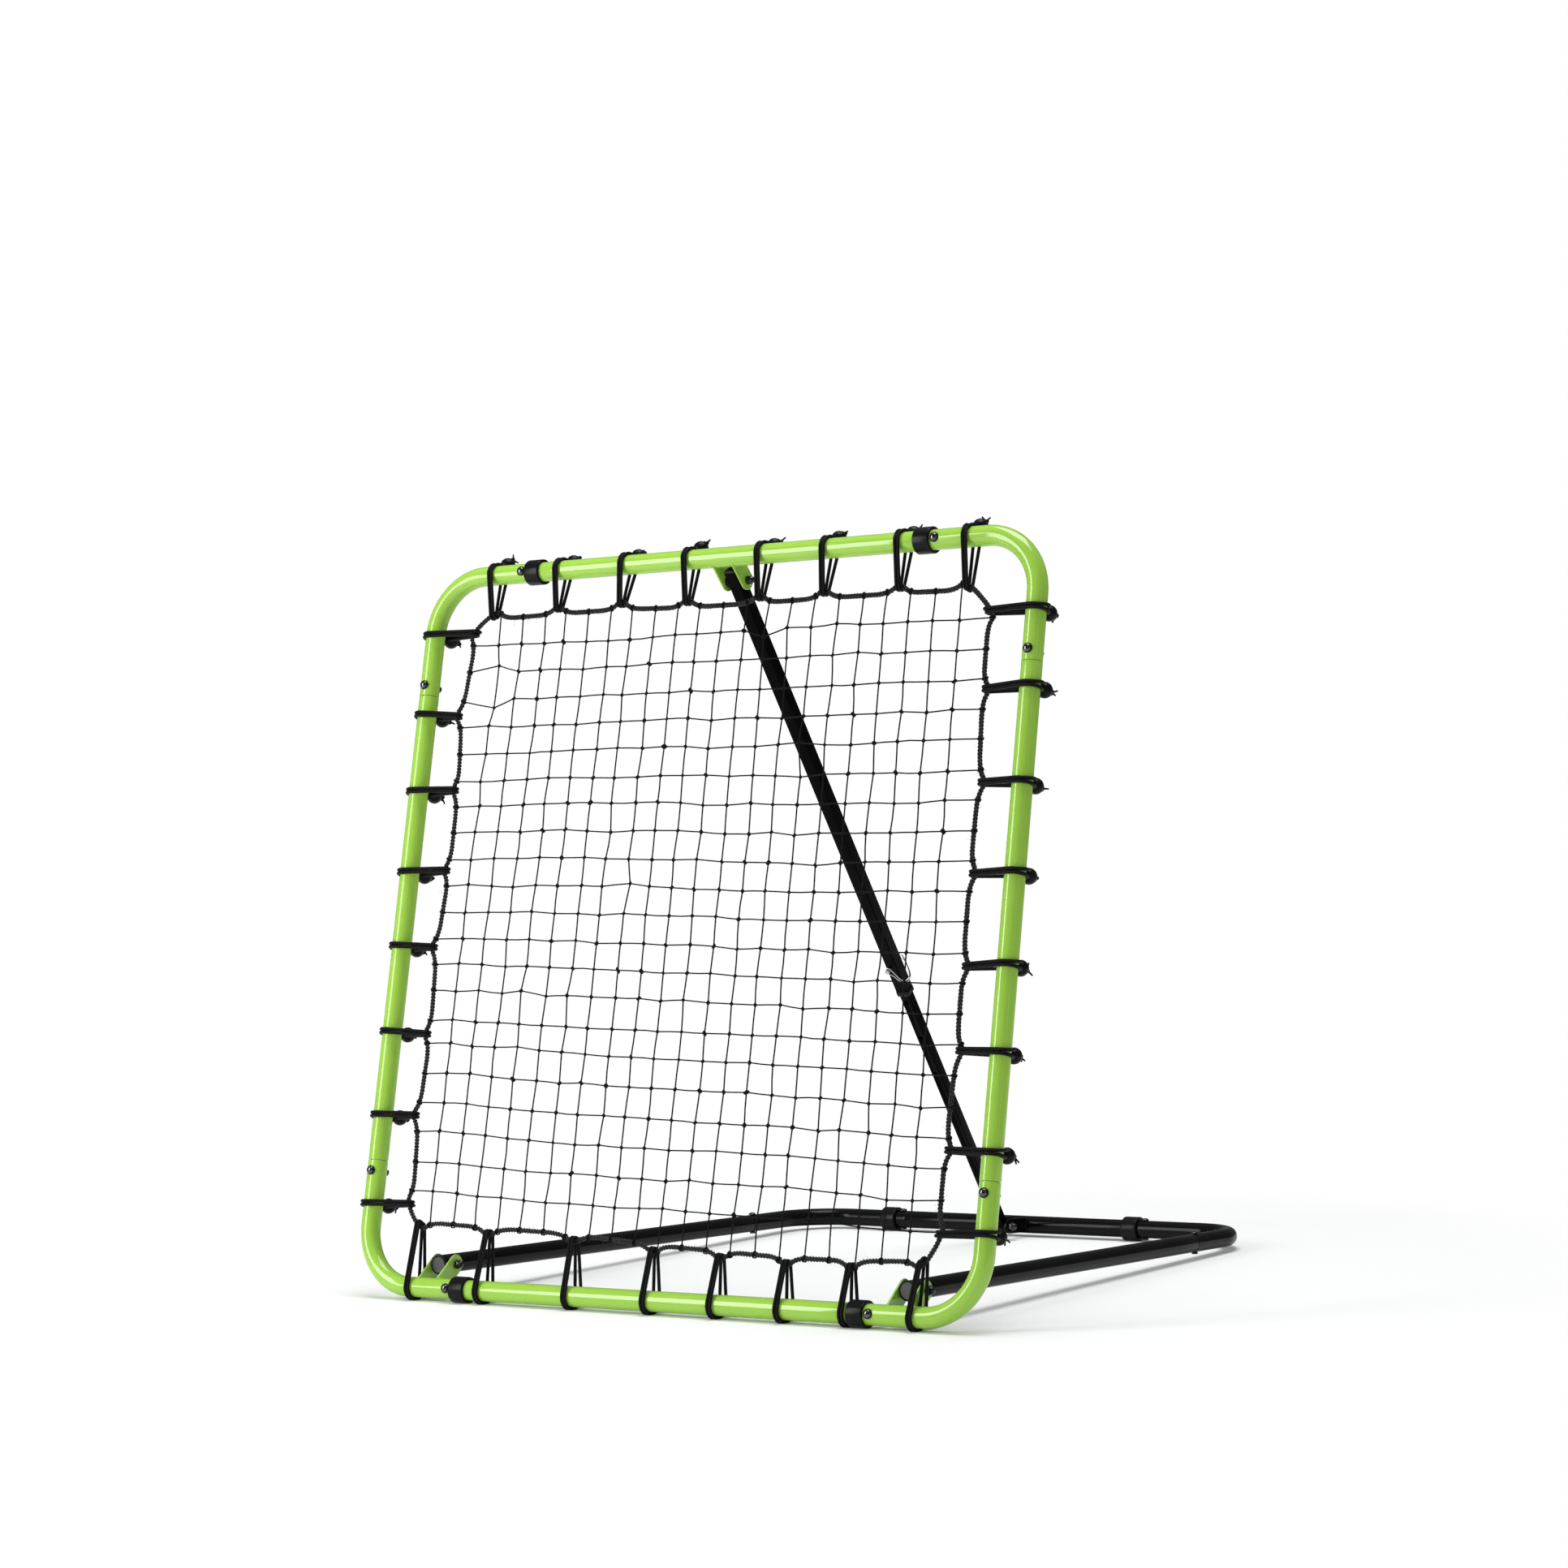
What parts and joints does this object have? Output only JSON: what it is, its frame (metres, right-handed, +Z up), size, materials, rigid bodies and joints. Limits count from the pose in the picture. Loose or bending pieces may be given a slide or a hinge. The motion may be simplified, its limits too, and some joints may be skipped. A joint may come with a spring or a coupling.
{
  "type": "pitch back rebounder",
  "caption": "Square tube frame with a net tied in by ball loops, hinged on a U-shaped floor base and propped at its lean by a pin-locked telescopic strut",
  "frame": {"origin": "centre of the bounding box's bottom face, on the floor", "axes": "+Z up; +X to the right, along the hinge, as seen by the player in front; +Y to the rear, from the net frame to the rear bar"},
  "size_m": [1.2084, 1.1064, 1.1844],
  "materials": {
    "green_paint": "smooth glossy lime green powder coat on steel tube",
    "black_paint": "glossy black powder coat on steel tube",
    "bright_zinc": "bright zinc plated steel",
    "black_plastic": "moulded black nylon with a fine grain",
    "black_rubber": "dull moulded black rubber",
    "black_cord": "black polyester net string, braided rope and elastic cord",
    "black_ball": "moulded black plastic ball, satin"
  },
  "bodies": {
    "base": {"base_rail_left": "black_paint", "base_rail_right": "black_paint", "base_corner_left": "black_paint", "base_corner_right": "black_paint", "base_rear_tube": "black_paint", "base_joint_bolts": "black_paint", "base_joint_nuts": "black_paint", "rail_end_caps": "black_plastic", "rear_foot_clips": "black_rubber", "hinge_spacers": "black_plastic", "rear_strut_bracket": "black_paint", "strut_rear_bolt": "bright_zinc", "strut_rear_nut": "black_plastic"},
    "net_frame": {"top_tube": "green_paint", "bottom_tube": "green_paint", "upright_left": "green_paint", "upright_right": "green_paint", "corner_top_left": "green_paint", "corner_top_right": "green_paint", "corner_bottom_left": "green_paint", "corner_bottom_right": "green_paint", "frame_joint_bolts": "bright_zinc", "frame_joint_washers": "black_plastic", "frame_joint_nuts": "bright_zinc", "top_tube_clips": "black_rubber", "front_foot_clips": "black_rubber", "hinge_bracket_left": "green_paint", "hinge_bracket_right": "green_paint", "hinge_bolts": "bright_zinc", "hinge_nuts": "black_plastic", "top_strut_bracket": "green_paint", "strut_top_bolt": "bright_zinc", "strut_top_nut": "black_plastic", "net": "black_cord", "net_border_rope": "black_cord", "bungee_loops_top": "black_cord", "bungee_loops_right": "black_cord", "bungee_loops_bottom": "black_cord", "bungee_loops_left": "black_cord", "bungee_balls_top": "black_ball", "bungee_balls_right": "black_ball", "bungee_balls_bottom": "black_ball", "bungee_balls_left": "black_ball"},
    "strut_outer": {"strut_outer_tube": "black_paint", "strut_top_plug": "black_plastic", "strut_sleeve": "black_plastic", "strut_top_bushes": "black_plastic"},
    "strut_inner": {"strut_inner_tube": "black_paint", "strut_bottom_plug": "black_plastic", "strut_rear_bushes": "black_plastic"},
    "lock_pin": {"lock_pin": "bright_zinc"},
    "lock_pin_wire": {"lock_pin_wire": "bright_zinc"}
  },
  "joints": [
    {"name": "frame_tilt", "type": "hinge", "parent": "base", "child": "net_frame", "pos_m": [0, -0.48865, 0.05362], "axis": [1, 0, 0], "range_deg": [-15.6, 0]},
    {"name": "strut_top_pivot", "type": "hinge", "parent": "net_frame", "child": "strut_outer", "pos_m": [0, -0.25316, 1.12481], "axis": [1, 0, 0], "range_deg": [0, 6.31]},
    {"name": "strut_rear_pivot", "type": "hinge", "parent": "base", "child": "strut_inner", "pos_m": [0, 0.46785, 0.0243], "axis": [1, 0, 0], "range_deg": [-9.32, 0]},
    {"name": "lock_pin_pull", "type": "slide", "parent": "strut_outer", "child": "lock_pin", "axis": [0, -0.8365, -0.548], "range_m": [0, 0.0451]},
    {"name": "lock_pin_wire_swing", "type": "hinge", "parent": "lock_pin", "child": "lock_pin_wire", "pos_m": [0, 0.13816, 0.48455], "axis": [0, 0.548, -0.8365], "range_deg": [0, 180]}
  ],
  "couplings": [
    {"joint": "strut_top_pivot", "follows": "frame_tilt", "ratio": -0.4036},
    {"joint": "strut_rear_pivot", "follows": "frame_tilt", "ratio": 0.5964},
    {"joint": "lock_pin_pull", "follows": "lock_pin_wire_swing", "m_per_rad": 0.014324}
  ]
}
